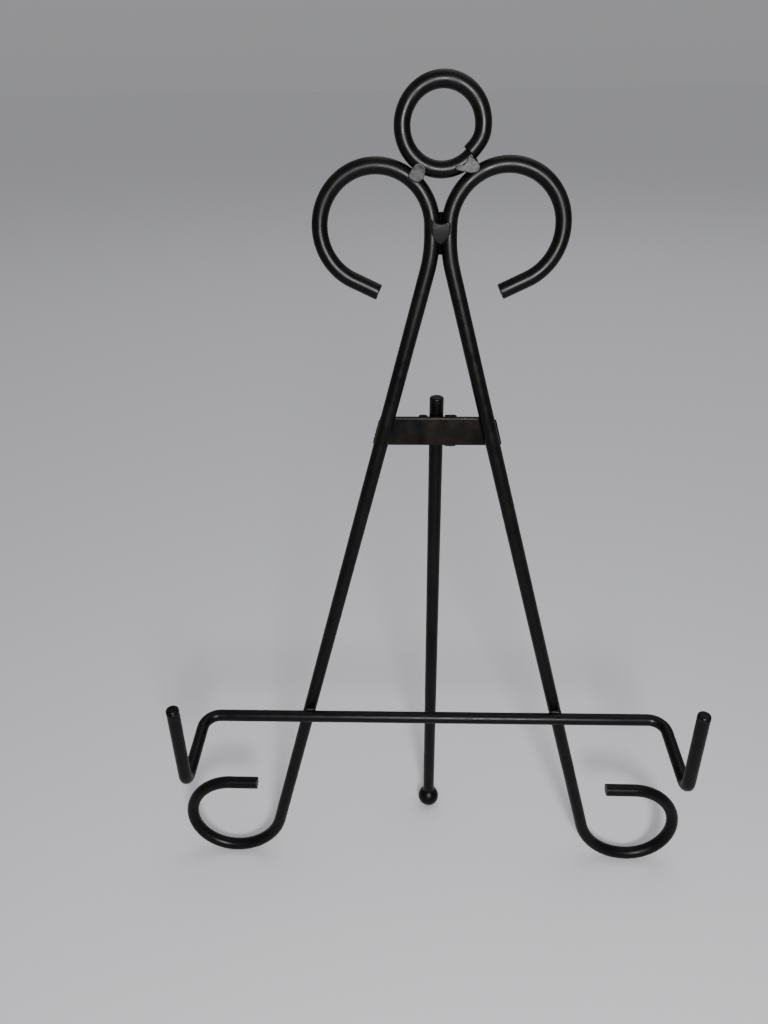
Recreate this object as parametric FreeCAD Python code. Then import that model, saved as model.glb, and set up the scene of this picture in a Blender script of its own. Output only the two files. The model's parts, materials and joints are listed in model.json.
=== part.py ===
import FreeCAD, Part
import math
import os

# Tabletop easel bent and welded from round steel rod.
#
# Two legs with a scroll at each end, a hanging ring, a flat cross plate, a ledge rod with two
# hooks, and a hinged back strut with a ball on its foot.  Millimetres, +Z up, -Y to the front.
#
# The rods of the frame are first laid out flat, in the plane of the legs: x to the right, y to
# the back and z up that plane, with z = 0 on the rod axis at the bottom of the foot scrolls.
# Then the whole frame leans back by REST_LEAN, and the strut hangs plumb from its hinge.

V = FreeCAD.Vector

# ---- stock --------------------------------------------------------------------------------
ROD = 5.0               # diameter of the legs, the ring and the strut
LEDGE_ROD = 4.6         # diameter of the ledge rod
END_CHAMFER = 0.4       # burr filed off the cut rod ends
TOUCH = 0.02            # gap kept where two pieces only meet along a line, under a weld

# ---- pose ---------------------------------------------------------------------------------
REST_LEAN = 5.0         # degrees that the plane of the legs leans back while the strut is plumb
OPEN_ANGLE = 30.0       # degrees between legs and strut when the strut's heel meets the plate

# ---- legs ---------------------------------------------------------------------------------
LEG_SPLAY = 14.94       # degrees between a leg and the middle of the frame
FOOT_X = 85.0           # middle of a foot scroll, from the middle of the frame
FOOT_ENTRY_R = 20.9     # the leg runs into its foot scroll on this wider radius
FOOT_R = 17.7
FOOT_TAIL = 12.0        # straight end of the rod, over the foot scroll
NECK_HALF = 2.6         # leg axis from the middle of the frame, where the legs lie side by side
NECK_R = 40.0
NECK_STRAIGHT = 2.85
SCROLL_R = 17.15        # top scrolls
SCROLL_END = -65.0      # degrees on the right scroll where its curve ends
SCROLL_TAIL = 9.0

# ---- ring ---------------------------------------------------------------------------------
RING_R = 11.75
RING_SEAM_AT = -42.0    # degrees on the ring where the rod's two ends meet
RING_SEAM = 1.6         # degrees left open between those ends

# ---- cross plate --------------------------------------------------------------------------
PLATE_HEIGHT = 10.0
PLATE_THICK = 2.0
PLATE_Z = 190.8         # middle of its height, and the height of the hinge pin
PLATE_EDGE = 0.35       # rounding along its long edges

# ---- ledge rod ----------------------------------------------------------------------------
LEDGE_Z = 75.3
LEDGE_TILT = 0.4        # degrees that the bar was welded off level, up to the right
LEDGE_HALF = 89.8       # hook axis from the middle of the frame
LEDGE_BEND_R = 6.0
HOOK_REACH = 31.5       # from the bar forward to the corner of the hook
HOOK_DROP = 5.5         # that corner sits this far below the bar
HOOK_LIP = 35.6         # height of the lip above that corner
HOOK_LEAN = 2.5         # the top of the lip stands this far in front of the corner
HOOK_BEND_R = 4.0
LIP_ROUND = 1.2         # rounding on the tops of the lips

# ---- hinge --------------------------------------------------------------------------------
HEEL = 10.3             # strut above the hinge pin
HEEL_ROUND = 0.8
STOP_GAP = 0.2          # between the heel and the plate's edge at OPEN_ANGLE
PIN_D = 2.4
PIN_PLAY = 0.05         # radial clearance between the pin and the strut's hole
RIVET_HEAD_D = 4.2
RIVET_HEAD = 0.9
EAR_GAP = 0.4           # between the strut and each ear
EAR_THICK = 1.8
EAR_RADIUS = 3.2        # rounded back of the ears, about the pin
EAR_ROOT = 4.8          # half the height of an ear where it meets the plate
WEB_THICK = 1.5
WEB_TOP = 2.2           # the web stops this far above the pin, to leave the heel its room

# ---- ball foot ----------------------------------------------------------------------------
BALL_D = 9.3
BALL_SEAT = 3.1         # depth of rod inside the ball

# ---- weld beads ---------------------------------------------------------------------------
RING_BEAD_R = 2.3
RING_BEAD_OUT = 1.5     # bead centre in front of the plane of the legs
NECK_BEAD_R = 2.4
NECK_BEAD_LENGTH = 2.6
NECK_BEAD_Z = 255.4
LEDGE_BEAD_R = 1.1
LEDGE_BEAD_LENGTH = 2.6
LEDGE_BEAD_UP = 1.5     # bead centre above and below the middle of the bar
PLATE_BEAD_LEFT_R = 0.7
PLATE_BEAD_RIGHT_R = 1.0
PLATE_BEAD_LENGTH = 7.6
PLATE_BEAD_IN = 0.6     # bead centre in front of the plate's face, in bead radii
PLATE_BEAD_SINK = 0.4   # and this far inside the leg's outside
BRACKET_BEAD_R = 1.2
BRACKET_BEAD_TOP = 0.5  # the beads run this far past the plate's top edge
BRACKET_BEAD_LEFT = 8.6
BRACKET_BEAD_RIGHT = 11.4

# ---- derived ------------------------------------------------------------------------------
ROD_R = ROD / 2
LEDGE_R = LEDGE_ROD / 2
SPLAY = math.radians(LEG_SPLAY)
LEAN = math.radians(REST_LEAN)
OPEN = math.radians(OPEN_ANGLE)

ENTRY_X = FOOT_X - FOOT_ENTRY_R * math.cos(SPLAY)
ENTRY_Z = FOOT_ENTRY_R * (1 - math.sin(SPLAY))
NECK_CORNER_Z = ENTRY_Z + (ENTRY_X - NECK_HALF) / math.tan(SPLAY)
NECK_TOP_Z = NECK_CORNER_Z + NECK_R * math.tan(SPLAY / 2)
SCROLL_X = NECK_HALF + SCROLL_R
SCROLL_Z = NECK_TOP_Z + NECK_STRAIGHT
RING_Z = SCROLL_Z + math.sqrt((RING_R + SCROLL_R + ROD + TOUCH) ** 2 - SCROLL_X ** 2)

PLATE_FRONT = ROD_R + TOUCH
PLATE_BACK = PLATE_FRONT + PLATE_THICK
LEDGE_Y = -(ROD_R + TOUCH + LEDGE_R)

HEEL_ROOM = (ROD_R + STOP_GAP + PLATE_HEIGHT / 2 * math.sin(OPEN)) / math.cos(OPEN)
PIN_Y = PLATE_BACK + HEEL_ROOM
EAR_IN = ROD_R + EAR_GAP
EAR_OUT = EAR_IN + EAR_THICK

PIN_HEIGHT = ROD_R + PLATE_Z * math.cos(LEAN) - PIN_Y * math.sin(LEAN)
PIN_BACK = PLATE_Z * math.sin(LEAN) + PIN_Y * math.cos(LEAN)
BALL_R = BALL_D / 2
STRUT_LENGTH = PIN_HEIGHT - BALL_R      # hinge pin to the middle of the ball

X_AXIS = V(1, 0, 0)
Y_AXIS = V(0, 1, 0)
Z_AXIS = V(0, 0, 1)


def leg_x(z):
    """Distance of the straight part of a leg's axis from the middle, at height z."""
    return ENTRY_X - (z - ENTRY_Z) * math.tan(SPLAY)


def leg_outside(z):
    """Distance of the outside of a leg from the middle, at height z."""
    return leg_x(z) + ROD_R / math.cos(SPLAY)


# ---- rods ---------------------------------------------------------------------------------
def on_circle(cx, cz, radius, degrees):
    angle = math.radians(degrees)
    return V(cx + radius * math.cos(angle), 0, cz + radius * math.sin(angle))


def arc(cx, cz, radius, start, end):
    """An arc in the plane of the legs, between two angles in degrees."""
    middle = (start + end) / 2
    points = [on_circle(cx, cz, radius, angle) for angle in (start, middle, end)]
    return Part.Arc(*points).toShape()


def line(start, end):
    return Part.LineSegment(start, end).toShape()


def sweep_rod(edges, diameter):
    """A round rod along edges that run into each other without a corner."""
    path = Part.Wire(edges)
    start = edges[0].valueAt(edges[0].FirstParameter)
    heading = edges[0].tangentAt(edges[0].FirstParameter)
    section = Part.Face(Part.Wire(Part.makeCircle(diameter / 2, start, heading)))
    return path.makePipe(section)


def end_edges(shape, points):
    """The round edges of the two cut ends of a rod."""
    found = []
    for edge in shape.Edges:
        if not hasattr(edge.Curve, "Center"):
            continue
        if any(edge.Curve.Center.distanceToPoint(point) < 0.01 for point in points):
            found.append(edge)
    return found


def rounded_path(corners, radii):
    """Straight runs through the corners, joined by tangent arcs of the given radii."""
    edges = []
    start = corners[0]
    for before, corner, after, radius in zip(corners, corners[1:], corners[2:], radii):
        towards = (before - corner).normalize()
        away = (after - corner).normalize()
        half = towards.getAngle(away) / 2
        cut = radius / math.tan(half)
        middle = (towards + away).normalize()
        first = corner + towards * cut
        last = corner + away * cut
        apex = corner + middle * (radius / math.sin(half) - radius)
        edges.append(line(start, first))
        edges.append(Part.Arc(first, apex, last).toShape())
        start = last
    edges.append(line(start, corners[-1]))
    return edges


# ---- frame pieces, laid out flat ----------------------------------------------------------
def right_leg():
    foot_top = V(FOOT_X, 0, 2 * FOOT_R)
    foot_end = foot_top - X_AXIS * FOOT_TAIL
    entry = arc(FOOT_X, FOOT_ENTRY_R, FOOT_ENTRY_R, 270, 180 + LEG_SPLAY)
    neck = arc(NECK_HALF + NECK_R, NECK_TOP_Z, NECK_R, 180 + LEG_SPLAY, 180)
    scroll = arc(SCROLL_X, SCROLL_Z, SCROLL_R, 180, SCROLL_END)
    tail_start = on_circle(SCROLL_X, SCROLL_Z, SCROLL_R, SCROLL_END)
    turned = math.radians(SCROLL_END)
    tail_end = tail_start + V(math.sin(turned), 0, -math.cos(turned)) * SCROLL_TAIL
    neck_start = V(NECK_HALF + NECK_R * (1 - math.cos(SPLAY)), 0,
                   NECK_TOP_Z - NECK_R * math.sin(SPLAY))
    edges = [
        line(foot_end, foot_top),
        arc(FOOT_X, FOOT_R, FOOT_R, 90, -90),
        entry,
        line(V(ENTRY_X, 0, ENTRY_Z), neck_start),
        neck,
        line(V(NECK_HALF, 0, NECK_TOP_Z), V(NECK_HALF, 0, SCROLL_Z)),
        scroll,
        line(tail_start, tail_end),
    ]
    leg = sweep_rod(edges, ROD)
    return leg.makeChamfer(END_CHAMFER, end_edges(leg, [foot_end, tail_end]))


def ring():
    """One turn of rod, closed but for a fine seam at its lower right."""
    start = RING_SEAM_AT + RING_SEAM / 2
    heading = Y_AXIS.cross(on_circle(0, 0, 1, start))
    section = Part.Face(Part.Wire(
        Part.makeCircle(ROD_R, on_circle(0, RING_Z, RING_R, start), heading)))
    return section.revolve(V(0, 0, RING_Z), Y_AXIS * -1, 360 - RING_SEAM)


def cross_plate():
    """Flat bar behind the legs, its ends sheared along the outsides of the legs."""
    corners = []
    for side, end in ((-1, -1), (-1, 1), (1, 1), (1, -1)):
        z = PLATE_Z + end * PLATE_HEIGHT / 2
        corners.append(V(side * leg_outside(z), PLATE_FRONT, z))
    outline = Part.Face(Part.makePolygon(corners + [corners[0]]))
    plate = outline.extrude(Y_AXIS * PLATE_THICK)
    long_edges = [edge for edge in plate.Edges if edge.Length > 2 * PLATE_HEIGHT]
    return plate.makeFillet(PLATE_EDGE, long_edges)


def ledge():
    """The ledge bar, an arm forward at each end of it, and the two upright lips."""
    corner_y = LEDGE_Y - HOOK_REACH
    corner_z = LEDGE_Z - HOOK_DROP
    half_path = [
        V(LEDGE_HALF, corner_y - HOOK_LEAN, corner_z + HOOK_LIP),
        V(LEDGE_HALF, corner_y, corner_z),
        V(LEDGE_HALF, LEDGE_Y, LEDGE_Z),
    ]
    mirrored = [V(-p.x, p.y, p.z) for p in reversed(half_path)]
    radii = [HOOK_BEND_R, LEDGE_BEND_R, LEDGE_BEND_R, HOOK_BEND_R]
    rod = sweep_rod(rounded_path(half_path + mirrored, radii), LEDGE_ROD)
    rod = rod.makeFillet(LIP_ROUND, end_edges(rod, [half_path[0], mirrored[-1]]))
    rod.rotate(V(0, 0, LEDGE_Z), Y_AXIS, -LEDGE_TILT)
    return rod


def right_ear():
    """An ear that tapers from its root on the plate to a round back about the pin."""
    slope = math.atan2(EAR_ROOT, -HEEL_ROOM) - math.acos(EAR_RADIUS / math.hypot(HEEL_ROOM, EAR_ROOT))
    meet_y = PIN_Y + EAR_RADIUS * math.cos(slope)
    meet_z = EAR_RADIUS * math.sin(slope)
    root_top = V(EAR_IN, PLATE_BACK, PLATE_Z + EAR_ROOT)
    root_bottom = V(EAR_IN, PLATE_BACK, PLATE_Z - EAR_ROOT)
    top = V(EAR_IN, meet_y, PLATE_Z + meet_z)
    bottom = V(EAR_IN, meet_y, PLATE_Z - meet_z)
    back = V(EAR_IN, PIN_Y + EAR_RADIUS, PLATE_Z)
    outline = [line(root_bottom, root_top), line(root_top, top),
               Part.Arc(top, back, bottom).toShape(), line(bottom, root_bottom)]
    return Part.Face(Part.Wire(outline)).extrude(X_AXIS * EAR_THICK)


def hinge_bracket():
    """A U of steel strip behind the plate: a short web, and an ear on each side of the strut."""
    ear = right_ear()
    other_ear = ear.mirror(V(0, 0, 0), X_AXIS)
    web = Part.makeBox(2 * EAR_IN, WEB_THICK, EAR_ROOT + WEB_TOP,
                       V(-EAR_IN, PLATE_BACK, PLATE_Z - EAR_ROOT))
    hole = Part.makeCylinder(PIN_D / 2, 2 * EAR_OUT, V(-EAR_OUT, PIN_Y, PLATE_Z), X_AXIS)
    return ear.fuse([other_ear, web]).cut(hole).removeSplitter()


def hinge_pin():
    """A rivet through both ears, closed to a flat head on each side."""
    shank = Part.makeCylinder(PIN_D / 2, 2 * EAR_OUT, V(-EAR_OUT, PIN_Y, PLATE_Z), X_AXIS)
    heads = []
    for side in (-1, 1):
        seat = V(side * EAR_OUT, PIN_Y, PLATE_Z)
        head = Part.makeCylinder(RIVET_HEAD_D / 2, RIVET_HEAD, seat, X_AXIS * side)
        rim = end_edges(head, [seat + X_AXIS * (side * RIVET_HEAD)])
        heads.append(head.makeFillet(RIVET_HEAD / 2, rim))
    return shank.fuse(heads).removeSplitter()


# ---- strut, which hangs plumb from the pin ------------------------------------------------
def strut_rod():
    bottom = -STRUT_LENGTH + BALL_R - BALL_SEAT
    rod = Part.makeCylinder(ROD_R, HEEL - bottom, V(0, 0, bottom), Z_AXIS)
    rod = rod.makeFillet(HEEL_ROUND, end_edges(rod, [V(0, 0, HEEL)]))
    hole = Part.makeCylinder(PIN_D / 2 + PIN_PLAY, ROD, V(-ROD_R, 0, 0), X_AXIS)
    return rod.cut(hole)


def ball_foot():
    """A steel ball, drilled for the end of the strut."""
    middle = V(0, 0, -STRUT_LENGTH)
    seat = Part.makeCylinder(ROD_R, BALL_D, middle + Z_AXIS * (BALL_R - BALL_SEAT), Z_AXIS)
    return Part.makeSphere(BALL_R, middle).cut(seat)


# ---- weld beads ---------------------------------------------------------------------------
def bead(middle, along, length, radius):
    """A short run of weld: a round bar with round ends."""
    step = along.normalize() * (length / 2)
    start = middle - step
    bar = Part.makeCylinder(radius, length, start, along)
    return bar.fuse([Part.makeSphere(radius, start), Part.makeSphere(radius, middle + step)])


def ring_bead(side, pieces):
    """The bead between the ring and one top scroll, in front of where they touch."""
    share = (RING_R + ROD_R) / (RING_R + SCROLL_R + ROD + TOUCH)
    middle = V(side * SCROLL_X * share, -RING_BEAD_OUT, RING_Z - (RING_Z - SCROLL_Z) * share)
    return Part.makeSphere(RING_BEAD_R, middle).cut(pieces)


def neck_bead(pieces):
    """The bead that joins the two legs where they lie side by side."""
    middle = V(0, -ROD_R / 2, NECK_BEAD_Z)
    return bead(middle, V(0, 0, 1), NECK_BEAD_LENGTH, NECK_BEAD_R).cut(pieces)


def plate_beads(pieces):
    """One bead down the outside of each leg, onto the end of the cross plate."""
    beads = []
    for side, radius in ((-1, PLATE_BEAD_LEFT_R), (1, PLATE_BEAD_RIGHT_R)):
        out = leg_outside(PLATE_Z) - PLATE_BEAD_SINK
        middle = V(side * out, PLATE_FRONT - PLATE_BEAD_IN * radius, PLATE_Z)
        along = V(side * math.sin(SPLAY), 0, -math.cos(SPLAY))
        beads.append(bead(middle, along, PLATE_BEAD_LENGTH, radius).cut(pieces))
    return Part.makeCompound(beads)


def ledge_beads(pieces):
    """Two beads at each crossing, in the corners above and below the ledge bar."""
    beads = []
    for side in (-1, 1):
        crossing = LEDGE_Z + side * leg_x(LEDGE_Z) * math.tan(math.radians(LEDGE_TILT))
        for over in (-1, 1):
            z = crossing + over * LEDGE_BEAD_UP
            middle = V(side * leg_x(z), -ROD_R, z)
            beads.append(bead(middle, V(1, 0, 0), LEDGE_BEAD_LENGTH, LEDGE_BEAD_R).cut(pieces))
    return Part.makeCompound(beads)


def bracket_beads(pieces):
    """One bead down the outside of each ear, onto the back of the cross plate."""
    beads = []
    top = PLATE_Z + PLATE_HEIGHT / 2 + BRACKET_BEAD_TOP
    for side, length in ((-1, BRACKET_BEAD_LEFT), (1, BRACKET_BEAD_RIGHT)):
        middle = V(side * EAR_OUT, PLATE_BACK, top - length / 2)
        run = length - 2 * BRACKET_BEAD_R
        beads.append(bead(middle, V(0, 0, 1), run, BRACKET_BEAD_R).cut(pieces))
    return Part.makeCompound(beads)


# ---- assembly -----------------------------------------------------------------------------
def build_frame():
    leg = right_leg()
    pieces = {
        "right_leg": leg,
        "left_leg": leg.mirror(V(0, 0, 0), X_AXIS),
        "top_ring": ring(),
        "cross_plate": cross_plate(),
        "ledge_rod": ledge(),
        "hinge_bracket": hinge_bracket(),
        "hinge_pin": hinge_pin(),
    }
    legs = [pieces["left_leg"], pieces["right_leg"]]
    pieces["ring_weld_left"] = ring_bead(-1, legs + [pieces["top_ring"]])
    pieces["ring_weld_right"] = ring_bead(1, legs + [pieces["top_ring"]])
    pieces["neck_weld"] = neck_bead(legs)
    pieces["plate_welds"] = plate_beads(legs + [pieces["cross_plate"]])
    pieces["ledge_welds"] = ledge_beads(legs + [pieces["ledge_rod"]])
    pieces["bracket_welds"] = bracket_beads([pieces["cross_plate"], pieces["hinge_bracket"]])
    for shape in pieces.values():
        shape.rotate(V(0, 0, 0), X_AXIS, -REST_LEAN)
        shape.translate(Z_AXIS * ROD_R)
    return pieces


def build_strut():
    pieces = {"strut_rod": strut_rod(), "ball_foot": ball_foot()}
    for shape in pieces.values():
        shape.translate(V(0, PIN_BACK, PIN_HEIGHT))
    return pieces


def main():
    nodes = build_frame()
    nodes.update(build_strut())
    box = Part.makeCompound(list(nodes.values())).optimalBoundingBox()
    shift = V(-(box.XMin + box.XMax) / 2, -(box.YMin + box.YMax) / 2, 0)
    os.makedirs("parts", exist_ok=True)
    for name, shape in nodes.items():
        shape.translate(shift)
        shape.exportStep(f"parts/{name}.step")
    print(f"hinge pin at x {shift.x:.3f}, y {PIN_BACK + shift.y:.3f}, z {PIN_HEIGHT:.3f}")
    print(f"strut, pin to ball: {STRUT_LENGTH:.2f}; shift {shift.x:.3f}, {shift.y:.3f}")
    print(f"overall {box.XLength:.2f} x {box.YLength:.2f} x {box.ZLength:.2f}, lowest {box.ZMin:.3f}")


main()
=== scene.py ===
import json
import math

import bmesh
import bpy
from mathutils import Matrix, Vector, noise


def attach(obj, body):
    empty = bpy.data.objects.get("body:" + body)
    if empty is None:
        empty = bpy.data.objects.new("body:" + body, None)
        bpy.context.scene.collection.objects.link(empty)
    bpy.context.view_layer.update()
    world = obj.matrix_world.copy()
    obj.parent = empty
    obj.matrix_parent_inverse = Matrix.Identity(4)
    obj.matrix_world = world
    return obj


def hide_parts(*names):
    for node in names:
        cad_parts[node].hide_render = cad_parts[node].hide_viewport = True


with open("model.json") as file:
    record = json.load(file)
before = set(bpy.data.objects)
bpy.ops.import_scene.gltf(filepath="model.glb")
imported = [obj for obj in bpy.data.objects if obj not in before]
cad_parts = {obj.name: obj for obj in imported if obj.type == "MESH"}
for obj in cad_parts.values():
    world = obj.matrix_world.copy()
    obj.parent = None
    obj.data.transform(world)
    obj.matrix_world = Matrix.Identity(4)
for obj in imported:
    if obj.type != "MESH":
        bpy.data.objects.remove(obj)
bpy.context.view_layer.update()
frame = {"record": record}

# Tabletop easel of black enamelled rod.  The pieces of the frame are made laid out flat, in
# millimetres: x to the right, y to the back and z up the plane of the legs, from the rod axis at
# the bottom of the feet.  FLAT then leans them back and scales them to metres.  The strut's
# pieces are made about the hinge pin, and HANGING puts them on it.

MM = 0.001

# ---- sizes, in millimetres where nothing else is said -------------------------------------------
ROD_R = 2.5             # rod of the legs, the ring and the strut
LEDGE_R = 2.3           # thinner rod of the ledge
TOUCH = 0.02            # left between rods that touch
REST_LEAN = math.radians(5.0)       # how far the legs lean back
OPEN_ANGLE = math.radians(30.0)     # between the strut and the legs when it is wide open

# Legs
LEG_SPLAY = 14.94       # degrees that each leg leans in towards the middle
FOOT_X = 85.0           # from the middle to the lowest point of a foot scroll
FOOT_ENTRY_R = 20.9     # the foot scroll is wider where the leg runs into it
FOOT_R = 17.7
FOOT_TAIL = 12.0
NECK_HALF = 2.6         # half the distance between the legs' axes at the neck
NECK_R = 40.0
NECK_STRAIGHT = 2.85
SCROLL_R = 17.15
SCROLL_TURN = 245.0     # degrees
SCROLL_TAIL = 9.0
LEG_END_ROUND = 0.25
LEG_END_SHEAR = 0.03    # slant of a leg's cut ends
LEG_END_ROUGH = 0.12    # grit on the right leg's ends
BURR = 0.3              # and on the left leg's, whose foot ends in a burr

# Hanging ring
RING_R = 11.75
RING_SEAM_AT = -42.0    # degrees round from the right
RING_SEAM = -1.0        # degrees between its two ends, which are pressed together to a groove
RING_STEP = 0.85        # one end of the ring's rod lies this far inside the other
RING_STEP_RUN = 34.0    # degrees over which it eases into the circle
RING_END_ROUND = 0.3

# Cross plate
PLATE_HEIGHT = 10.0
PLATE_THICK = 2.0
PLATE_Z = 190.8         # height of its middle
PLATE_EDGE = 0.6        # rounding of its edges

# Ledge and its two hooks
LEDGE_Z = 75.3
LEDGE_TILT = math.radians(0.4)      # it is welded on slightly out of level
LEDGE_HALF = 89.8       # from the middle to the axis of a hook
LEDGE_BEND_R = 6.0
HOOK_REACH = 31.5       # from the bar forward to the foot of a lip
HOOK_DROP = 5.5         # how far the arm falls on the way there
HOOK_LIP = 35.6         # height of a lip
HOOK_LEAN = 2.5         # how far its top stands before its foot
HOOK_BEND_R = 4.0
LIP_ROUND = 0.8         # rounding of its end

# Strut, rivet and hinge bracket
HEEL = 10.3             # how far the strut reaches above the pin
HEEL_ROUND = 0.55
STOP_GAP = 0.2          # left between the strut and the plate when it is wide open
PIN_R = 1.2
PIN_PLAY = 0.05
RIVET_HEAD_R = 2.1
RIVET_HEAD = 0.9        # height of the dome over the ear
RIVET_RIM = 0.25        # height of the dome's edge over the ear
RIVET_SIDE = 0.12       # height where its side starts to draw in to the ear, and how far it does
RIVET_DRAW_IN = 0.08
EAR_IN = ROD_R + 0.4    # from the middle to the inside of an ear
EAR_THICK = 1.8
EAR_RADIUS = 3.2        # of its round back
EAR_ROOT = 4.8          # half its height on the plate
EAR_EDGE = 0.28         # rounding of its edges
WEB_THICK = 1.5
WEB_TOP = 2.2           # how far the web between the ears reaches above the pin

# Ball foot
BALL_R = 4.65
BALL_SEAT = 3.1         # how deep the strut goes into it
COLLAR = 0.55           # the fillet of enamel where the rod goes into the ball
COLLAR_HEIGHT = 1.3
COLLAR_SINK = 0.1       # its upper edge ends inside the rod's skin

# Welds
NECK_ROOT_Y = 1.4       # the run of weld in the groove between the legs, behind the pad
NECK_ROOT_R = 1.1
NECK_ROOT_TOP = 260.9
NECK_ROOT_LENGTH = 12.4
NECK_ROOT_ROUND = 0.6
PLATE_BEAD = 7.6        # length of the beads at the plate's ends
PLATE_BEADS = ((-1, 0.7), (1, 1.0))     # side and radius of each
PLATE_BEAD_SINK = 0.4   # how far a bead's axis lies inside the leg's outside
PLATE_BEAD_BEFORE = 0.6     # share of its radius that a bead's axis lies before the plate
BRACKET_BEADS = ((-1, 8.6, 1.4), (1, 11.4, 2.6))    # side, length and spread of the ends
BRACKET_BEAD_R = 1.2
BRACKET_BEAD_TOP = 0.5  # how far they stand over the plate's top
BRACKET_TIP_R = 0.9     # the ends of those beads, which spread sideways
LEDGE_BEAD = 2.6
LEDGE_BEAD_R = 1.1
LEDGE_BEAD_UP = 1.5     # from the crossing of ledge and leg up, and down, to a bead
BEAD_THIN = 0.07        # share of its radius that a bead lacks, before its lumps
BEAD_LUMPS = 0.09
RIPPLE = 0.85           # millimetres from one ripple of a bead to the next
RIPPLE_DEPTH = 0.05     # share of the radius

# Outlines of the welds on the front, as (x, z) from the middle of each.
LEFT_PAD = (
    (-1.1, 1.4), (0.0, 2.2), (1.7, 2.0), (2.5, 0.5), (2.2, -1.1), (1.3, -2.5), (-0.3, -2.9),
    (-2.3, -1.8), (-2.5, -0.7),
)
RIGHT_PAD = (
    (0.1, 3.0), (0.8, 2.4), (2.3, 1.2), (3.3, -0.2), (2.9, -1.5), (1.0, -2.1), (-1.2, -1.7),
    (-3.5, -1.2), (-3.9, -0.5), (-2.9, 0.1), (-1.5, 0.3), (-0.6, 1.3),
)
NECK_PAD = (
    (-2.9, 2.5), (-2.2, 1.7), (-1.1, 1.3), (0.2, 1.2), (1.5, 1.5), (2.5, 1.7), (2.9, 0.6),
    (2.7, -2.2), (1.7, -4.2), (0.0, -4.9), (-1.7, -4.2), (-2.7, -2.2), (-3.0, 0.8),
)

# ---- worked out -------------------------------------------------------------------------------
SPLAY = math.radians(LEG_SPLAY)
ENTRY_X = FOOT_X - FOOT_ENTRY_R * math.cos(SPLAY)
ENTRY_Z = FOOT_ENTRY_R * (1 - math.sin(SPLAY))
NECK_CORNER_Z = ENTRY_Z + (ENTRY_X - NECK_HALF) / math.tan(SPLAY)
NECK_CUT = NECK_R * math.tan(SPLAY / 2)
LEG_RUN = (ENTRY_X - NECK_HALF) / math.sin(SPLAY) - NECK_CUT
SCROLL_X = NECK_HALF + SCROLL_R
SCROLL_Z = NECK_CORNER_Z + NECK_CUT + NECK_STRAIGHT
RING_Z = SCROLL_Z + math.sqrt((RING_R + SCROLL_R + 2 * ROD_R + TOUCH) ** 2 - SCROLL_X ** 2)
PLATE_FRONT = ROD_R + TOUCH
PLATE_BACK = PLATE_FRONT + PLATE_THICK
LEDGE_Y = -(ROD_R + TOUCH + LEDGE_R)
HEEL_ROOM = (ROD_R + STOP_GAP + PLATE_HEIGHT / 2 * math.sin(OPEN_ANGLE)) / math.cos(OPEN_ANGLE)
PIN_Y = PLATE_BACK + HEEL_ROOM
EAR_OUT = EAR_IN + EAR_THICK

HINGE = Vector(frame["record"]["behaviour"]["joints"][0]["pos_m"])
STRUT_LENGTH = HINGE.z / MM - BALL_R
HANGING = Matrix.Translation(HINGE) @ Matrix.Scale(MM, 4)
FLAT = HANGING @ Matrix.Rotation(-REST_LEAN, 4, "X") @ Matrix.Translation((0, -PIN_Y, -PLATE_Z))
TILTED = (FLAT @ Matrix.Translation((0, 0, LEDGE_Z)) @ Matrix.Rotation(-LEDGE_TILT, 4, "Y")
          @ Matrix.Translation((0, 0, -LEDGE_Z)))

X_AXIS = Vector((1, 0, 0))
Y_AXIS = Vector((0, 1, 0))
Z_AXIS = Vector((0, 0, 1))

# ---- mesh quality -----------------------------------------------------------------------------
STEP = 0.8              # millimetres between the rings of a rod
RING_FINENESS = 1.4     # how many times as close they are on the hanging ring
SIDES = 40              # vertices round a rod
TURN_LEAST = 6          # fewest rings on one bend of a rod
BEAD_STEP = 0.12        # millimetres between the rings of a bead
BEAD_LEAST = 24         # fewest rings of a bead
BEAD_SIDES = 28
PAD_CURVE = 10          # points from one corner of a pad's outline to the next
PAD_SHARES = (1.0, 0.985, 0.96, 0.93, 0.89, 0.84, 0.77, 0.68, 0.57, 0.45, 0.32, 0.18)
END_STEPS = 5           # rings over the rounding of a rod's end
END_SHARES = (0.82, 0.55, 0.28)     # and over its flat middle, as shares of that
BALL_STEPS = 40
COLLAR_STEPS = 8
DOME_STEPS = 9
EAR_STEPS = 28
HOLE_SIDES = 48
SHARP = math.radians(35)    # edges of strip that turn by more than this are rounded
EDGE_STEPS = 4
SKIN = 0.03             # millimetres that every surface lies under its true size
WAVE = 0.035            # millimetres that a rod's surface dips under that
LONG_WAVE = 14.0        # millimetres along the rod, of its two sizes of wave
SHORT_WAVE = 3.1
LONG_DIP = 0.6          # and the weight of each
SHORT_DIP = 0.35
GRIT_FINENESS = 4       # of a rod's rough cut ends
LUMP_FINENESS = 0.9     # lumps of turned pieces and weld pads, per millimetre
GRAIN_FINENESS = 3.2    # the pads' finer grain, and its height as a share of the lumps'
GRAIN_SHARE = 0.25
BEAD_FINENESS = 1.1     # lumps of the beads, per millimetre

# ---- camera, floor and light, in metres, watts and degrees --------------------------------------
CAMERA_AT = (-0.00751, HINGE.y - 0.25105, 0.29644)
CAMERA_TURN = (60.871, 0.771, 2.143)
CAMERA_LENS = 27.035    # millimetres
SENSOR = 36.0           # millimetres
NEAREST = 0.005         # nothing nearer to the camera shows
FLOOR_REACH = 40.0
FLOOR_COLOUR = (0.71, 0.71, 0.73, 1)
KEY_AT = (0.045, -0.40, 0.34)
KEY_TOWARDS = (0, 0.02, 0.19)
KEY_SIZE = 0.09
KEY_WATTS = 2.2
OVERHEAD_AT = (0.35, 0.6, 1.7)
OVERHEAD_TOWARDS = (0, 0, 0.1)
OVERHEAD_SIZE = 1.6
OVERHEAD_WATTS = 7.2
ROOM_COLOUR = (0.97, 0.97, 1.0, 1)
ROOM_LOW = 0.31         # brightness of the room at the horizon and overhead
ROOM_HIGH = 0.47

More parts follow.
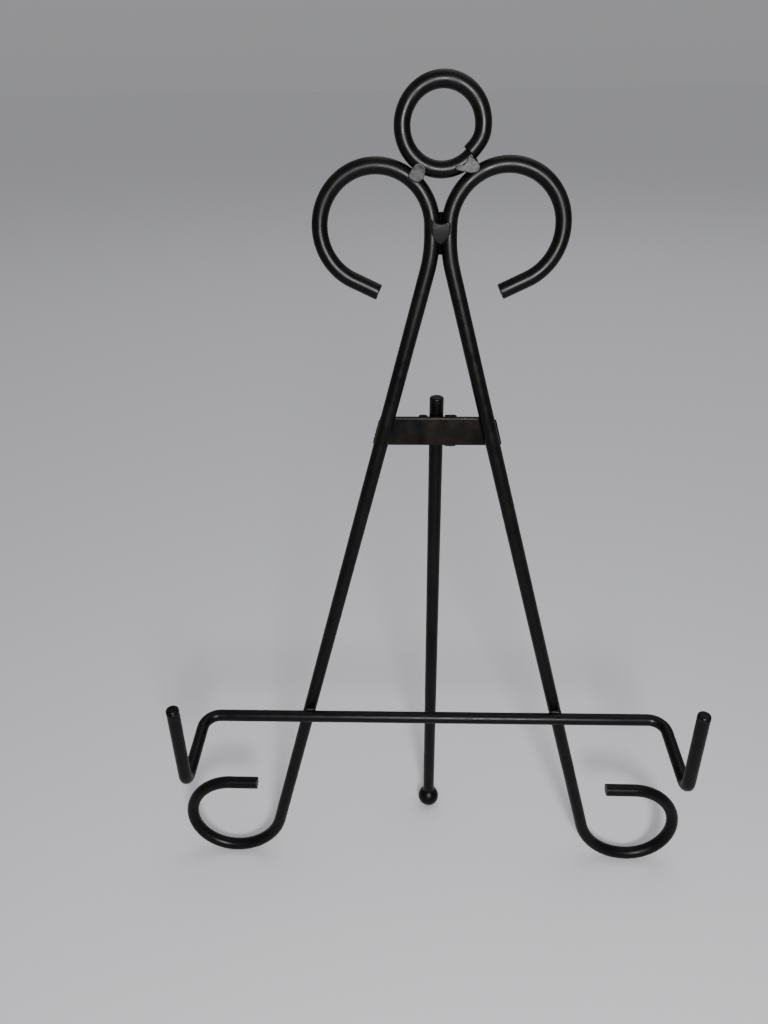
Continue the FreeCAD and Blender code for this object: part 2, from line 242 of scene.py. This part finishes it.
# ---- enamel -------------------------------------------------------------------------------------
PEEL_SCALE = 1500.0     # fineness of the orange peel, the broad waves and the specks
WAVES_SCALE = 320.0
SPECKS_SCALE = 700.0
SPECK_SIZE = 0.16
SPECK_HEIGHT = 0.35
PEEL_STRENGTH = 0.25
PEEL_HEIGHT = 0.00004   # metres
WAVES_HEIGHT = 0.00012
CLOUD_LOW, CLOUD_HIGH = 0.42, 0.68      # where the cloud goes from the dark to the light colour
WAVES_LOW, WAVES_HIGH = 0.3, 0.7
GLOSSIER, DULLER = 0.06, 0.08           # how far the roughness goes either way
MIX_FACTOR, MIX_DARK, MIX_LIGHT, MIX_RESULT = 0, 6, 7, 2    # sockets of a colour mix


def leg_x(z):
    """Distance of the straight part of a leg's axis from the middle, at height z."""
    return ENTRY_X - (z - ENTRY_Z) * math.tan(SPLAY)


def leg_outside(z):
    """Distance of a leg's outside from the middle, at height z."""
    return leg_x(z) + ROD_R / math.cos(SPLAY)


# ---- rods -------------------------------------------------------------------------------------
class BentRod:
    """The path of a rod as a bender makes it: straight runs and turns, one after the other."""

    def __init__(self, start, heading, side):
        self.at = Vector(start)
        self.heading = Vector(heading).normalized()
        self.side = Vector(side).normalized()
        self.stations = [(self.at.copy(), self.heading.copy(), self.side.copy())]

    def mark(self):
        self.stations.append((self.at.copy(), self.heading.copy(), self.side.copy()))

    def straight(self, length):
        count = max(1, round(length / STEP))
        for _ in range(count):
            self.at += self.heading * (length / count)
            self.mark()

    def turn(self, radius, degrees, axis):
        """Turns about the axis by the right-hand rule, on an arc of this radius."""
        centre = self.at + axis.cross(self.heading).normalized() * radius
        count = max(TURN_LEAST, round(radius * math.radians(abs(degrees)) / STEP))
        bit = Matrix.Rotation(math.radians(degrees) / count, 3, axis)
        for _ in range(count):
            self.at = centre + bit @ (self.at - centre)
            self.heading = bit @ self.heading
            self.side = bit @ self.side
            self.mark()

    def through(self, corners, radii):
        """Runs to each corner in turn, rounds it on its radius, and ends at the last one."""
        for corner, after, radius in zip(corners, corners[1:], radii):
            away = (after - corner).normalized()
            axis = self.heading.cross(away).normalized()
            angle = self.heading.angle(away)
            cut = radius * math.tan(angle / 2)
            self.straight((corner - self.at).length - cut)
            self.turn(radius, math.degrees(angle), axis)
        self.straight((corners[-1] - self.at).length)


def leg_path():
    """The right leg, from the end of its foot scroll to the end of its top scroll."""
    rod = BentRod((FOOT_X - FOOT_TAIL, 0, 2 * FOOT_R), X_AXIS, Y_AXIS)
    rod.straight(FOOT_TAIL)
    rod.turn(FOOT_R, 180, Y_AXIS)
    rod.turn(FOOT_ENTRY_R, 90 - LEG_SPLAY, Y_AXIS)
    rod.straight(LEG_RUN)
    rod.turn(NECK_R, LEG_SPLAY, Y_AXIS)
    rod.straight(NECK_STRAIGHT)
    rod.turn(SCROLL_R, SCROLL_TURN, Y_AXIS)
    rod.straight(SCROLL_TAIL)
    return rod.stations


def ledge_path():
    """The ledge rod, from the top of one lip round to the top of the other."""
    corner_y = LEDGE_Y - HOOK_REACH
    corner_z = LEDGE_Z - HOOK_DROP
    left = [
        Vector((-LEDGE_HALF, corner_y - HOOK_LEAN, corner_z + HOOK_LIP)),
        Vector((-LEDGE_HALF, corner_y, corner_z)),
        Vector((-LEDGE_HALF, LEDGE_Y, LEDGE_Z)),
    ]
    right = [Vector((-p.x, p.y, p.z)) for p in reversed(left)]
    corners = left + right
    rod = BentRod(corners[0], corners[1] - corners[0], X_AXIS)
    rod.through(corners[1:], [HOOK_BEND_R, LEDGE_BEND_R, LEDGE_BEND_R, HOOK_BEND_R])
    return rod.stations


def ring_path():
    """One turn, from the end that lies inside round to the end that lies on the true circle."""
    stations = []
    sweep = 360 - RING_SEAM
    count = round(RING_R * math.radians(sweep) / STEP * RING_FINENESS)
    for i in range(count + 1):
        turned = sweep * i / count
        angle = math.radians(RING_SEAM_AT + RING_SEAM / 2 + turned)
        ease = max(0.0, 1 - turned / RING_STEP_RUN)
        radius = RING_R - RING_STEP * ease * ease * (3 - 2 * ease)
        out = Vector((math.cos(angle), 0, math.sin(angle)))
        heading = Vector((-math.sin(angle), 0, math.cos(angle)))
        stations.append((Vector((0, 0, RING_Z)) + out * radius, heading, Y_AXIS.copy()))
    return stations


def strut_path():
    """The strut, from its top end, over the pin, to its seat in the ball."""
    rod = BentRod((0, 0, HEEL), -Z_AXIS, X_AXIS)
    rod.straight(HEEL + STRUT_LENGTH - BALL_R + BALL_SEAT)
    return rod.stations


def dip(around, along, seed):
    """From 0 to 1: the drawn rod's slight waves, which the enamel leaves smooth."""
    long_wave = noise.noise(Vector((along / LONG_WAVE, seed * 7.3, around.y * 0.4)))
    short_wave = noise.noise(Vector((along / SHORT_WAVE, around.x * 1.2, around.y * 1.2 + seed)))
    return min(1.0, max(0.0, 0.5 + LONG_DIP * long_wave + SHORT_DIP * short_wave))


def round_end(radius, rounding):
    """The rings from a rod's full size in to the middle of its end, as (inset, share of radius)."""
    rings = []
    for i in range(END_STEPS + 1):
        angle = math.pi / 2 * i / END_STEPS
        inset = rounding * (1 - math.sin(angle))
        rings.append((inset, 1 - rounding / radius * (1 - math.cos(angle))))
    flat = rings[-1][1]
    return rings + [(0.0, flat * share) for share in END_SHARES]


def skin_rings(bm, rings, first_tip, last_tip):
    """Closes a skin over the rings, with a tip in the middle of each end."""
    size = len(rings[0])
    for a, b in zip(rings, rings[1:]):
        for k in range(size):
            n = (k + 1) % size
            bm.faces.new((a[k], a[n], b[n], b[k]))
    for circle, tip in ((rings[0], first_tip), (rings[-1], last_tip)):
        centre = bm.verts.new(tip)
        for k in range(size):
            bm.faces.new((circle[k], circle[(k + 1) % size], centre))


def rod_mesh(stations, radius, seed, rounding, shear=0.0, rough=0.0):
    """A closed skin round the stations.  The ends are sheared off slant and rough, or rounded."""
    bm = bmesh.new()
    profile = round_end(radius, rounding)
    lengths = [0.0]
    for (a, _, _), (b, _, _) in zip(stations, stations[1:]):
        lengths.append(lengths[-1] + (b - a).length)
    total = lengths[-1]

    def ring(station, along, share=1.0, inset=0.0, outward=0.0):
        at, heading, side = station
        up = heading.cross(side)
        made = []
        for k in range(SIDES):
            angle = 2 * math.pi * k / SIDES
            around = Vector((math.cos(angle), math.sin(angle), 0))
            reach = (radius - SKIN - WAVE * dip(around, along, seed)) * share
            spot = at + side * (around.x * reach) + up * (around.y * reach)
            if outward:
                slant = shear * (around.x * share - 1) * radius
                grain = around * (share * GRIT_FINENESS) + Vector((0, 0, seed))
                grit = rough * (noise.noise(grain) - 0.5)
                spot += heading * outward * (slant + grit - inset - SKIN)
            made.append(bm.verts.new(spot))
        return made

    def tip(station, outward):
        at, heading, _ = station
        return at - heading * outward * (shear * radius + SKIN + rough / 2)

    first = [ring(stations[0], 0.0, share, inset, -1.0) for inset, share in reversed(profile)]
    last = [ring(stations[-1], total, share, inset, 1.0) for inset, share in profile]
    keep = rounding + shear * radius * 2 + rough
    middle = [ring(s, a) for s, a in zip(stations, lengths) if keep < a < total - keep]
    skin_rings(bm, first + middle + last, tip(stations[0], -1.0), tip(stations[-1], 1.0))
    bmesh.ops.recalc_face_normals(bm, faces=bm.faces)
    return bm


# ---- turned and cut shapes ----------------------------------------------------------------------
def lathe_mesh(profile, start, axis, side, seed, lumps):
    """A closed turned shape.  The profile is (distance along the axis, radius), tip to tip."""
    bm = bmesh.new()
    up = axis.cross(side)
    rings = []
    for along, radius in profile[1:-1]:
        made = []
        for k in range(SIDES):
            angle = 2 * math.pi * k / SIDES
            out = side * math.cos(angle) + up * math.sin(angle)
            spot = start + axis * along + out * radius
            lump = lumps * (0.5 + 0.5 * noise.noise(spot * LUMP_FINENESS + Z_AXIS * seed))
            made.append(bm.verts.new(spot - out * lump))
        rings.append(made)
    skin_rings(bm, rings, start + axis * profile[0][0], start + axis * profile[-1][0])
    bmesh.ops.recalc_face_normals(bm, faces=bm.faces)
    return bm


def add_slab(bm, outline, thickness, edge):
    """A piece of strip with this outline.  Its sharp edges are rounded, so it lies inside it."""
    face = bm.faces.new([bm.verts.new(corner) for corner in outline])
    grown = bmesh.ops.extrude_face_region(bm, geom=[face])["geom"]
    new_verts = [item for item in grown if isinstance(item, bmesh.types.BMVert)]
    bmesh.ops.translate(bm, verts=new_verts, vec=thickness)
    mine = set(new_verts) | set(face.verts)
    edges = [e for e in bm.edges if e.verts[0] in mine and e.verts[1] in mine]
    bmesh.ops.recalc_face_normals(bm, faces=list({f for e in edges for f in e.link_faces}))
    sharp = [e for e in edges if e.calc_face_angle(0.0) > SHARP]
    bmesh.ops.bevel(bm, geom=sharp, offset=edge, segments=EDGE_STEPS, profile=0.5, affect="EDGES")


def new_object(name, bm):
    """Puts a shape into the scene."""
    mesh = bpy.data.meshes.new(name)
    bm.to_mesh(mesh)
    bm.free()
    made = bpy.data.objects.new(name, mesh)
    bpy.context.collection.objects.link(made)
    return made


def drill_across(bm, radius):
    """Drills a rod along x, through the origin, and gives back the drilled rod."""
    drill = bmesh.new()
    across = Matrix.Rotation(math.radians(90), 4, "Y")
    bmesh.ops.create_cone(drill, cap_ends=True, segments=HOLE_SIDES, radius1=radius,
                          radius2=radius, depth=4 * ROD_R, matrix=across)
    cutter = new_object("drill", drill)
    rod = new_object("work", bm)
    hole = rod.modifiers.new("Hole", "BOOLEAN")
    hole.operation = "DIFFERENCE"
    hole.solver = "EXACT"
    hole.object = cutter
    drilled = rod.evaluated_get(bpy.context.evaluated_depsgraph_get())
    whole = bpy.data.meshes.new_from_object(drilled)
    out = bmesh.new()
    out.from_mesh(whole)
    bpy.data.meshes.remove(whole)
    for used in (rod, cutter):
        mesh = used.data
        bpy.data.objects.remove(used)
        bpy.data.meshes.remove(mesh)
    return out


def finish_piece(bm, name, place, node, body, material, mirror=False, crisp=False):
    """Turns a mesh in millimetres into a piece of the easel that stands for a CAD node."""
    if mirror:
        bmesh.ops.transform(bm, matrix=Matrix.Scale(-1, 4, X_AXIS), verts=bm.verts)
        bmesh.ops.reverse_faces(bm, faces=bm.faces)
    bmesh.ops.transform(bm, matrix=place, verts=bm.verts)
    piece = new_object(name, bm)
    for polygon in piece.data.polygons:
        polygon.use_smooth = True
    piece.data.materials.append(material)
    if crisp:
        normals = piece.modifiers.new("WeightedNormal", "WEIGHTED_NORMAL")
        normals.weight = 90
    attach(piece, body)
    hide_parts(node)


# ---- welds ------------------------------------------------------------------------------------
def smooth_loop(corners, count):
    """A closed smooth curve through the corners."""
    spots = []
    size = len(corners)
    for i in range(size):
        a, b, c, d = (Vector(corners[(i + j - 1) % size]) for j in range(4))
        for k in range(count):
            t = k / count
            spots.append(0.5 * (2 * b + (c - a) * t + (2 * a - 5 * b + 4 * c - d) * t ** 2
                                + (3 * b - a - 3 * c + d) * t ** 3))
    return spots


def pad_mesh(corners, middle, front, rim, slope, dish, seed, lumps, fall=0.0):
    """A flat pad of weld with this outline, (x, z) from its middle, standing up to `front` before
    the plane of the legs.  Its edge is rounded by the rim.  Its front leans by the slope, is
    hollow by the dish, and below the middle curves back by the fall."""
    bm = bmesh.new()
    loop = smooth_loop(corners, PAD_CURVE)

    def spot(point, share):
        x = point.x * share
        z = point.y * share
        inside = min(rim, (1 - share) * point.length)
        drop = rim - math.sqrt(max(0.0, rim ** 2 - (rim - inside) ** 2))
        place = Vector((x, z, seed))
        lump = lumps * noise.noise(place * LUMP_FINENESS)
        grain = GRAIN_SHARE * lumps * noise.noise(place * GRAIN_FINENESS)
        depth = front + slope * z - fall * min(z, 0.0) ** 2 - dish * (1 - share ** 2)
        return Vector((middle[0] + x, -(depth - drop + lump + grain), middle[1] + z))

    rings = [[bm.verts.new((middle[0] + p.x, 0, middle[1] + p.y)) for p in loop]]
    for share in PAD_SHARES:
        rings.append([bm.verts.new(spot(p, share)) for p in loop])
    skin_rings(bm, rings, (middle[0], 0, middle[1]), spot(loop[0], 0.0))
    bmesh.ops.recalc_face_normals(bm, faces=bm.faces)
    return bm


def add_bead(bm, middle, along, length, radius, seed):
    """A run of weld: a lumpy bar with round ends and the ripples of the pool along it."""
    axis = Vector(along).normalized()
    side = axis.orthogonal().normalized()
    up = axis.cross(side)
    full = length + 2 * radius
    count = max(BEAD_LEAST, round(full / BEAD_STEP))
    rings = []
    for i in range(1, count):
        t = i / count
        s = t * full
        end = min(s, full - s)
        cap = math.sqrt(max(0.0, 1 - (1 - min(1.0, end / radius)) ** 2))
        ripple = 1 - RIPPLE_DEPTH * (0.5 + 0.5 * math.cos(2 * math.pi * s / RIPPLE))
        made = []
        for k in range(BEAD_SIDES):
            angle = 2 * math.pi * k / BEAD_SIDES
            out = side * math.cos(angle) + up * math.sin(angle)
            place = (axis * s + out * radius) * BEAD_FINENESS + X_AXIS * seed
            lump = noise.noise(place)
            reach = radius * cap * (ripple - BEAD_THIN + BEAD_LUMPS * lump)
            made.append(bm.verts.new(Vector(middle) + axis * (s - full / 2) + out * reach))
        rings.append(made)
    end = axis * (full / 2)
    skin_rings(bm, rings, Vector(middle) - end, Vector(middle) + end)


def make_pads(painted_sheen_grey, dull):
    """The welds on the front: one on each side under the ring, and one at the neck with its dull
    run behind it in the groove.  The pads are painted a lighter grey than the rods, as painted
    reflection of the key light on their flat fronts; the run is painted darker, as painted shade."""
    left = pad_mesh(LEFT_PAD, middle=(-7.3, 272.1), front=3.35, rim=0.3, slope=0.07, dish=0.10,
                    seed=1.0, lumps=0.04)
    finish_piece(left, "ring_weld_left_pad", FLAT, "ring_weld_left", "frame", painted_sheen_grey)
    right = pad_mesh(RIGHT_PAD, middle=(7.7, 273.6), front=3.45, rim=0.3, slope=-0.02, dish=0.08,
                     seed=2.0, lumps=0.06)
    finish_piece(right, "ring_weld_right_pad", FLAT, "ring_weld_right", "frame",
                 painted_sheen_grey)
    neck = pad_mesh(NECK_PAD, middle=(0.0, 256.5), front=3.25, rim=0.7, slope=0.15, dish=0.05,
                    seed=3.0, lumps=0.03, fall=0.05)
    finish_piece(neck, "neck_weld_pad", FLAT, "neck_weld", "frame", painted_sheen_grey)
    # The run in the groove gets enamel darker than the rods': painted shade of the groove between
    # the legs.
    root = BentRod((0, NECK_ROOT_Y, NECK_ROOT_TOP), -Z_AXIS, X_AXIS)
    root.straight(NECK_ROOT_LENGTH)
    bm = rod_mesh(root.stations, NECK_ROOT_R, seed=6.0, rounding=NECK_ROOT_ROUND)
    finish_piece(bm, "neck_weld_root", FLAT, "neck_weld", "frame", dull)


def make_beads(black):
    """The beads that hold the cross plate, the ledge and the hinge bracket."""
    plate = bmesh.new()
    for side, radius in PLATE_BEADS:
        out = leg_outside(PLATE_Z) - PLATE_BEAD_SINK
        middle = (side * out, PLATE_FRONT - PLATE_BEAD_BEFORE * radius, PLATE_Z)
        along = (side * math.sin(SPLAY), 0, -math.cos(SPLAY))
        add_bead(plate, middle, along, PLATE_BEAD, radius, seed=4.0 + side)
    ledge = bmesh.new()
    for side in (-1, 1):
        crossing = LEDGE_Z + side * leg_x(LEDGE_Z) * math.tan(LEDGE_TILT)
        for over in (-1, 1):
            z = crossing + over * LEDGE_BEAD_UP
            middle = (side * leg_x(z), -ROD_R, z)
            seed = 7.0 + side + 3 * over
            add_bead(ledge, middle, X_AXIS, LEDGE_BEAD, LEDGE_BEAD_R, seed)
    bracket = bmesh.new()
    top = PLATE_Z + PLATE_HEIGHT / 2 + BRACKET_BEAD_TOP
    for side, length, spread in BRACKET_BEADS:
        middle = Vector((side * EAR_OUT, PLATE_BACK, top - length / 2))
        straight = length - 2 * BRACKET_BEAD_R
        add_bead(bracket, middle, Z_AXIS, straight, BRACKET_BEAD_R, seed=12.0 + side)
        for end in (-1, 1):
            tip = middle + Z_AXIS * end * (length / 2 - BRACKET_TIP_R)
            add_bead(bracket, tip, X_AXIS, spread, BRACKET_TIP_R, seed=15.0 + side + 3 * end)
    for bm, node in ((plate, "plate_welds"), (ledge, "ledge_welds"), (bracket, "bracket_welds")):
        bmesh.ops.recalc_face_normals(bm, faces=bm.faces)
        finish_piece(bm, node + "_beads", FLAT, node, "frame", black)


# ---- rods, plate and hinge ----------------------------------------------------------------------
def make_rods(black):
    """The two legs, the hanging ring and the ledge."""
    stations = leg_path()
    legs = (("right_leg", False, 1.0, LEG_END_ROUGH), ("left_leg", True, 5.0, BURR))
    for name, mirror, seed, rough in legs:
        bm = rod_mesh(stations, ROD_R, seed, LEG_END_ROUND, shear=LEG_END_SHEAR, rough=rough)
        finish_piece(bm, name + "_rod", FLAT, name, "frame", black, mirror)
    bm = rod_mesh(ring_path(), ROD_R, seed=9.0, rounding=RING_END_ROUND)
    finish_piece(bm, "top_ring_rod", FLAT, "top_ring", "frame", black)
    bm = rod_mesh(ledge_path(), LEDGE_R, seed=13.0, rounding=LIP_ROUND)
    finish_piece(bm, "ledge_bent_rod", TILTED, "ledge_rod", "frame", black)


def make_plate(painted):
    """The cross plate.  Its ends are cut along the outsides of the legs."""
    bm = bmesh.new()
    outline = []
    for side, end in ((-1, -1), (-1, 1), (1, 1), (1, -1)):
        z = PLATE_Z + end * (PLATE_HEIGHT / 2 - SKIN)
        outline.append((side * (leg_outside(z) - SKIN), PLATE_FRONT + SKIN, z))
    add_slab(bm, outline, Y_AXIS * (PLATE_THICK - 2 * SKIN), PLATE_EDGE)
    finish_piece(bm, "cross_plate_strip", FLAT, "cross_plate", "frame", painted,
                 crisp=True)


def ear_outline(x):
    """An ear that tapers from its root on the plate to a round back about the pin."""
    reach = math.hypot(HEEL_ROOM, EAR_ROOT)
    slope = math.atan2(EAR_ROOT, -HEEL_ROOM) - math.acos(EAR_RADIUS / reach)
    outline = [(x, PLATE_BACK, PLATE_Z - EAR_ROOT), (x, PLATE_BACK, PLATE_Z + EAR_ROOT)]
    for i in range(EAR_STEPS + 1):
        angle = slope * (1 - 2 * i / EAR_STEPS)
        y = PIN_Y + EAR_RADIUS * math.cos(angle)
        outline.append((x, y, PLATE_Z + EAR_RADIUS * math.sin(angle)))
    return outline


def make_bracket(painted):
    """The hinge bracket: two ears and the web between them, which lies on the plate."""
    bm = bmesh.new()
    for x in (-EAR_OUT, EAR_IN):
        add_slab(bm, ear_outline(x), X_AXIS * EAR_THICK, EAR_EDGE)
    reach = EAR_IN + EAR_THICK / 2
    web = [(-reach, PLATE_BACK, z) for z in (PLATE_Z - EAR_ROOT + SKIN, PLATE_Z + WEB_TOP)]
    web += [(reach, y, z) for _, y, z in reversed(web)]
    add_slab(bm, web, Y_AXIS * WEB_THICK, EAR_EDGE)
    finish_piece(bm, "hinge_bracket_strip", FLAT, "hinge_bracket", "frame",
                 painted, crisp=True)


def make_pin(painted):
    """The rivet, with both heads hammered to low domes."""
    head = []
    for i in range(DOME_STEPS + 1):
        angle = math.pi / 2 * i / DOME_STEPS
        out = RIVET_HEAD - (RIVET_HEAD - RIVET_RIM) * (1 - math.cos(angle))
        head.append((EAR_OUT + out, RIVET_HEAD_R * math.sin(angle)))
    inside = EAR_OUT - SKIN
    head.append((EAR_OUT + RIVET_SIDE, RIVET_HEAD_R))
    head += [(inside, RIVET_HEAD_R - RIVET_DRAW_IN), (inside, PIN_R)]
    profile = [(-along, radius) for along, radius in head] + list(reversed(head))
    bm = lathe_mesh(profile, Vector((0, PIN_Y, PLATE_Z)), X_AXIS, Y_AXIS, seed=21.0, lumps=0.05)
    finish_piece(bm, "hinge_pin_rivet", FLAT, "hinge_pin", "frame", painted)


def make_strut(black):
    """The back strut and the ball on its foot, with a fillet of enamel between them."""
    rod = rod_mesh(strut_path(), ROD_R, seed=17.0, rounding=HEEL_ROUND)
    rod = drill_across(rod, PIN_R + PIN_PLAY)
    finish_piece(rod, "strut_straight_rod", HANGING, "strut_rod", "strut", black)
    ball = BALL_R - SKIN
    lip = ROD_R + COLLAR
    profile = [(-ball, 0.0)]
    last = math.acos(lip / ball)
    for i in range(1, BALL_STEPS + 1):
        angle = -math.pi / 2 + (last + math.pi / 2) * i / BALL_STEPS
        profile.append((ball * math.sin(angle), ball * math.cos(angle)))
    top = profile[-1][0]
    for i in range(1, COLLAR_STEPS + 1):
        t = i / COLLAR_STEPS
        radius = lip - (COLLAR + COLLAR_SINK) * (1 - (1 - t) ** 2)
        profile.append((top + COLLAR_HEIGHT * t, radius))
    profile.append((top + COLLAR_HEIGHT, 0.0))
    at = Vector((0, 0, -STRUT_LENGTH))
    bm = lathe_mesh(profile, at, Z_AXIS, X_AXIS, seed=31.0, lumps=0.06)
    finish_piece(bm, "ball_foot_bead", HANGING, "ball_foot", "strut", black)


# ---- materials --------------------------------------------------------------------------------
def add_node(tree, kind, **settings):
    """A node with these settings: properties of its own, or inputs with _ for a space."""
    made = tree.nodes.new(kind)
    for name, value in settings.items():
        if hasattr(made, name):
            setattr(made, name, value)
        else:
            made.inputs[name.replace("_", " ")].default_value = value
    return made


def remap(tree, source, low, high, out_low, out_high):
    """Carries the range from low to high of a value over to another range."""
    made = add_node(tree, "ShaderNodeMapRange", From_Min=low, From_Max=high,
                    To_Min=out_low, To_Max=out_high)
    tree.links.new(source, made.inputs["Value"])
    return made.outputs["Result"]


def enamel(name, dark, light, cloud, roughness, grain, lumps, specular):
    """Black enamel: a faint cloud of colour, uneven gloss, a fine orange peel and a few specks.
    The cloud and the grain say how fine these are, the lumps how strong the broad waves are."""
    material = bpy.data.materials.new(name)
    material.use_nodes = True
    tree = material.node_tree
    link = tree.links.new
    shader = tree.nodes["Principled BSDF"]
    place = add_node(tree, "ShaderNodeTexCoord")

    def field(kind, **settings):
        made = add_node(tree, kind, **settings)
        link(place.outputs["Object"], made.inputs["Vector"])
        return made

    clouds = field("ShaderNodeTexNoise", Scale=cloud, Detail=4.0)
    peel = field("ShaderNodeTexNoise", Scale=PEEL_SCALE * grain, Detail=2.0)
    waves = field("ShaderNodeTexNoise", Scale=WAVES_SCALE * grain, Detail=2.0)
    specks = field("ShaderNodeTexVoronoi", Scale=SPECKS_SCALE, feature="F1")

    mix = add_node(tree, "ShaderNodeMix", data_type="RGBA")
    mix.inputs[MIX_DARK].default_value = (*dark, 1)
    mix.inputs[MIX_LIGHT].default_value = (*light, 1)
    cloudy = remap(tree, clouds.outputs["Fac"], CLOUD_LOW, CLOUD_HIGH, 0.0, 1.0)
    link(cloudy, mix.inputs[MIX_FACTOR])
    link(mix.outputs[MIX_RESULT], shader.inputs["Base Color"])
    uneven = remap(tree, waves.outputs["Fac"], WAVES_LOW, WAVES_HIGH,
                   roughness - GLOSSIER, roughness + DULLER)
    link(uneven, shader.inputs["Roughness"])

    speck = remap(tree, specks.outputs["Distance"], 0.0, SPECK_SIZE, 1.0, 0.0)
    height = add_node(tree, "ShaderNodeMath", operation="MULTIPLY_ADD")
    link(speck, height.inputs[0])
    height.inputs[1].default_value = SPECK_HEIGHT
    link(peel.outputs["Fac"], height.inputs[2])
    fine = add_node(tree, "ShaderNodeBump", Strength=PEEL_STRENGTH, Distance=PEEL_HEIGHT)
    link(height.outputs["Value"], fine.inputs["Height"])
    broad = add_node(tree, "ShaderNodeBump", Strength=lumps, Distance=WAVES_HEIGHT)
    link(waves.outputs["Fac"], broad.inputs["Height"])
    link(fine.outputs["Normal"], broad.inputs["Normal"])
    link(broad.outputs["Normal"], shader.inputs["Normal"])

    shader.inputs["Specular IOR Level"].default_value = specular
    return material


def floor_material():
    material = bpy.data.materials.new("pale_floor")
    material.use_nodes = True
    shader = material.node_tree.nodes["Principled BSDF"]
    shader.inputs["Base Color"].default_value = FLOOR_COLOUR
    shader.inputs["Roughness"].default_value = 0.9
    shader.inputs["Specular IOR Level"].default_value = 0.1
    return material


# ---- stage --------------------------------------------------------------------------------------
def make_camera():
    data = bpy.data.cameras.new("camera")
    data.sensor_width = SENSOR
    data.lens = CAMERA_LENS
    data.clip_start = NEAREST
    camera = bpy.data.objects.new("camera", data)
    camera.location = CAMERA_AT
    camera.rotation_euler = [math.radians(a) for a in CAMERA_TURN]
    bpy.context.collection.objects.link(camera)
    bpy.context.scene.camera = camera


def area_light(name, at, towards, size, watts, gloss_only=False):
    """A round soft light.  One that is gloss_only shows in reflections and lights no paint."""
    data = bpy.data.lights.new(name, "AREA")
    data.shape = "DISK"
    data.size = size
    data.energy = watts
    light = bpy.data.objects.new(name, data)
    light.location = at
    aim = Vector(towards) - Vector(at)
    light.rotation_euler = aim.to_track_quat("-Z", "Y").to_euler()
    light.visible_camera = False
    light.visible_diffuse = not gloss_only
    bpy.context.collection.objects.link(light)


def studio_world():
    """A soft pale room, as bright at the horizon as the floor there and brighter overhead."""
    world = bpy.data.worlds.new("studio")
    world.use_nodes = True
    tree = world.node_tree
    background = tree.nodes["Background"]
    background.inputs["Color"].default_value = ROOM_COLOUR
    place = add_node(tree, "ShaderNodeTexCoord")
    split = add_node(tree, "ShaderNodeSeparateXYZ")
    tree.links.new(place.outputs["Generated"], split.inputs["Vector"])
    brightness = remap(tree, split.outputs["Z"], 0.0, 1.0, ROOM_LOW, ROOM_HIGH)
    tree.links.new(brightness, background.inputs["Strength"])
    bpy.context.scene.world = world


def make_stage():
    bm = bmesh.new()
    bmesh.ops.create_grid(bm, x_segments=4, y_segments=4, size=FLOOR_REACH)
    floor = new_object("floor", bm)
    floor.data.materials.append(floor_material())
    studio_world()
    area_light("key", KEY_AT, KEY_TOWARDS, KEY_SIZE, KEY_WATTS)
    area_light("key_gloss", KEY_AT, KEY_TOWARDS, KEY_SIZE, KEY_WATTS, gloss_only=True)
    area_light("overhead", OVERHEAD_AT, OVERHEAD_TOWARDS, OVERHEAD_SIZE, OVERHEAD_WATTS)


def main():
    make_camera()
    make_stage()
    black = enamel("rod_enamel", dark=(0.0015, 0.0013, 0.0011), light=(0.0036, 0.0030, 0.0025),
                   cloud=90.0, roughness=0.35, grain=1.0, lumps=0.12, specular=0.13)
    painted = enamel("plate_enamel", dark=(0.0020, 0.0016, 0.0014), light=(0.0085, 0.0056, 0.0042),
                     cloud=130.0, roughness=0.32, grain=0.8, lumps=0.2, specular=0.11)
    # Weld pads: a lighter grey than the rod enamel, which is painted reflection of the key light on
    # their flat fronts.
    painted_sheen_grey = enamel("weld_enamel", dark=(0.0060, 0.0058, 0.0056), light=(0.0110, 0.0105, 0.0100),
                  cloud=200.0, roughness=0.45, grain=0.8, lumps=0.12, specular=0.22)
    make_rods(black)
    make_strut(black)
    make_plate(painted)
    make_bracket(painted)
    make_pin(painted)
    # Groove weld: darker than the rod enamel, as painted shade of the groove between the legs. It
    # is rough and low in gloss, so it shows no highlight.
    dull = enamel("groove_enamel", dark=(0.0009, 0.0008, 0.0007), light=(0.0020, 0.0017, 0.0015),
                  cloud=90.0, roughness=0.80, grain=1.0, lumps=0.15, specular=0.04)
    make_pads(painted_sheen_grey, dull)
    make_beads(black)


main()
